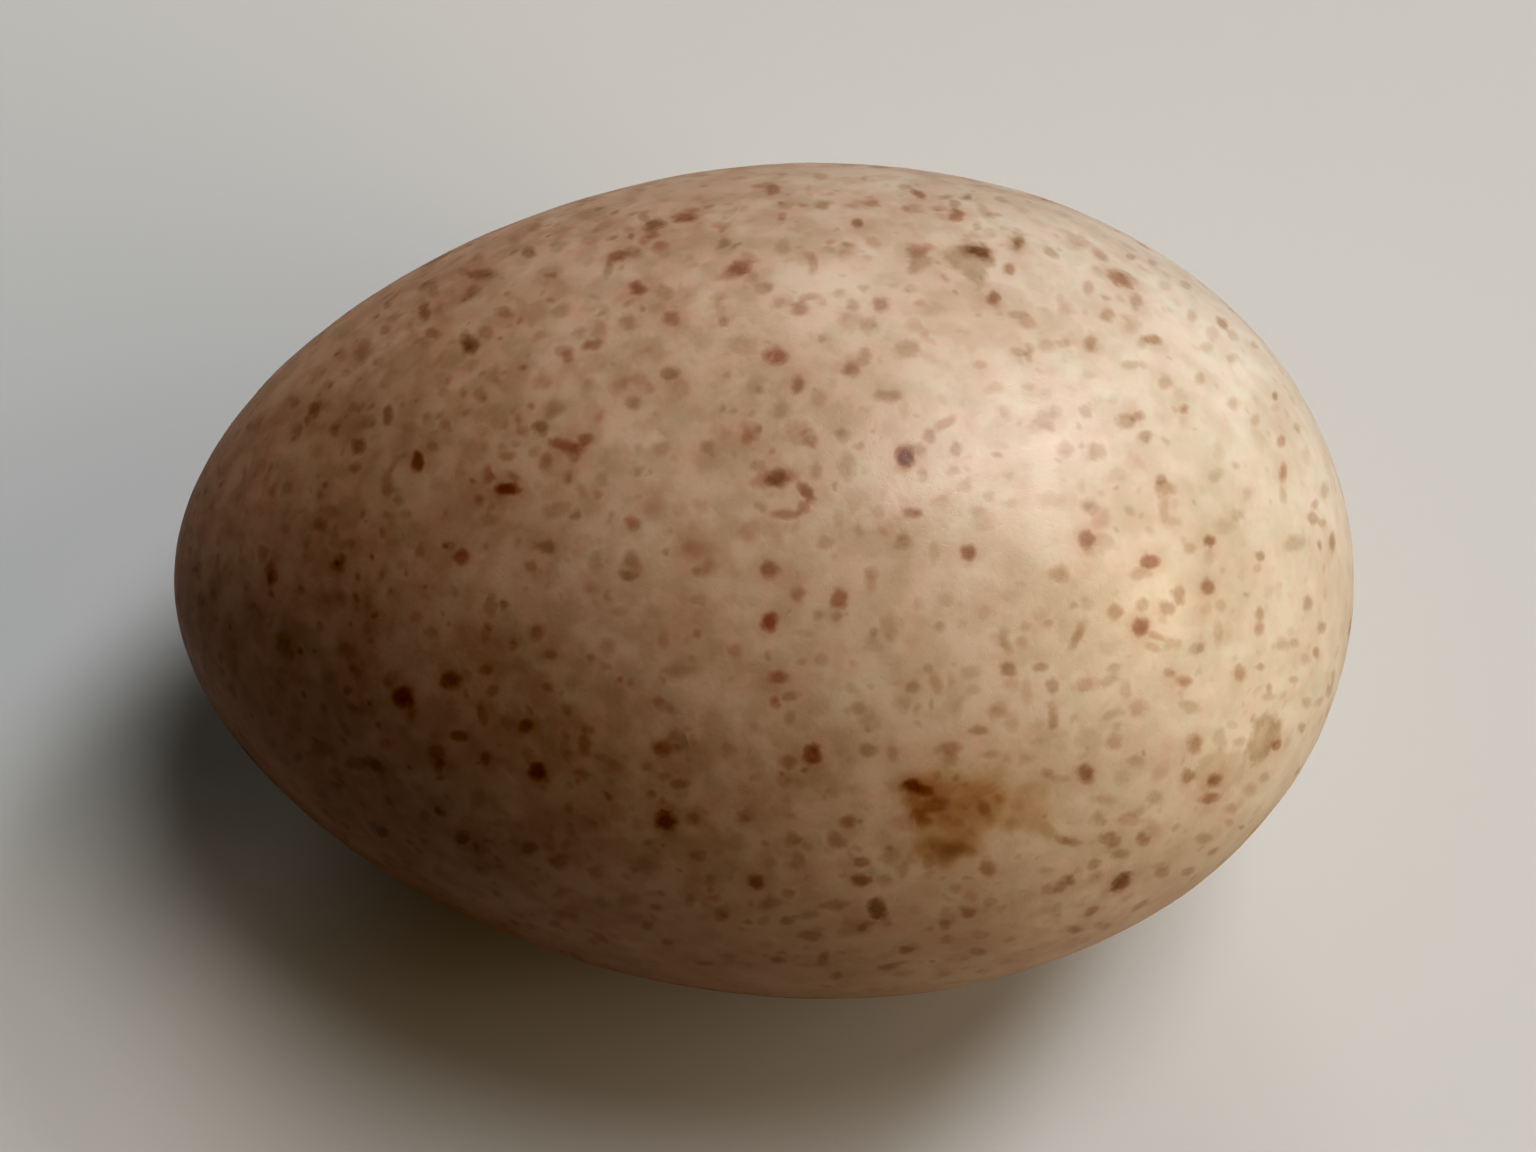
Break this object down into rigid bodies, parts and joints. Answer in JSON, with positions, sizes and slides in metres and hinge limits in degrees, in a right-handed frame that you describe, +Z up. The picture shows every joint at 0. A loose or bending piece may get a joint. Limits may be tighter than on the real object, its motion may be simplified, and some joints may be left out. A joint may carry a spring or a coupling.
{
  "type": "turkey egg",
  "caption": "Whole speckled turkey egg lying on its side, blunt at one end and more pointed at the other, resting on a small flat spot.",
  "frame": {"origin": "middle of the small flat spot that the egg rests on, straight below its centre of mass", "axes": "+X towards the blunt end, +Z up; the long axis lies in the XZ plane, with its blunt end raised by about 5 degrees, as the egg balances"},
  "size_m": [0.0669, 0.0472, 0.0472],
  "materials": {
    "eggshell": "satin"
  },
  "bodies": {
    "root": {"egg": "eggshell"}
  },
  "joints": []
}
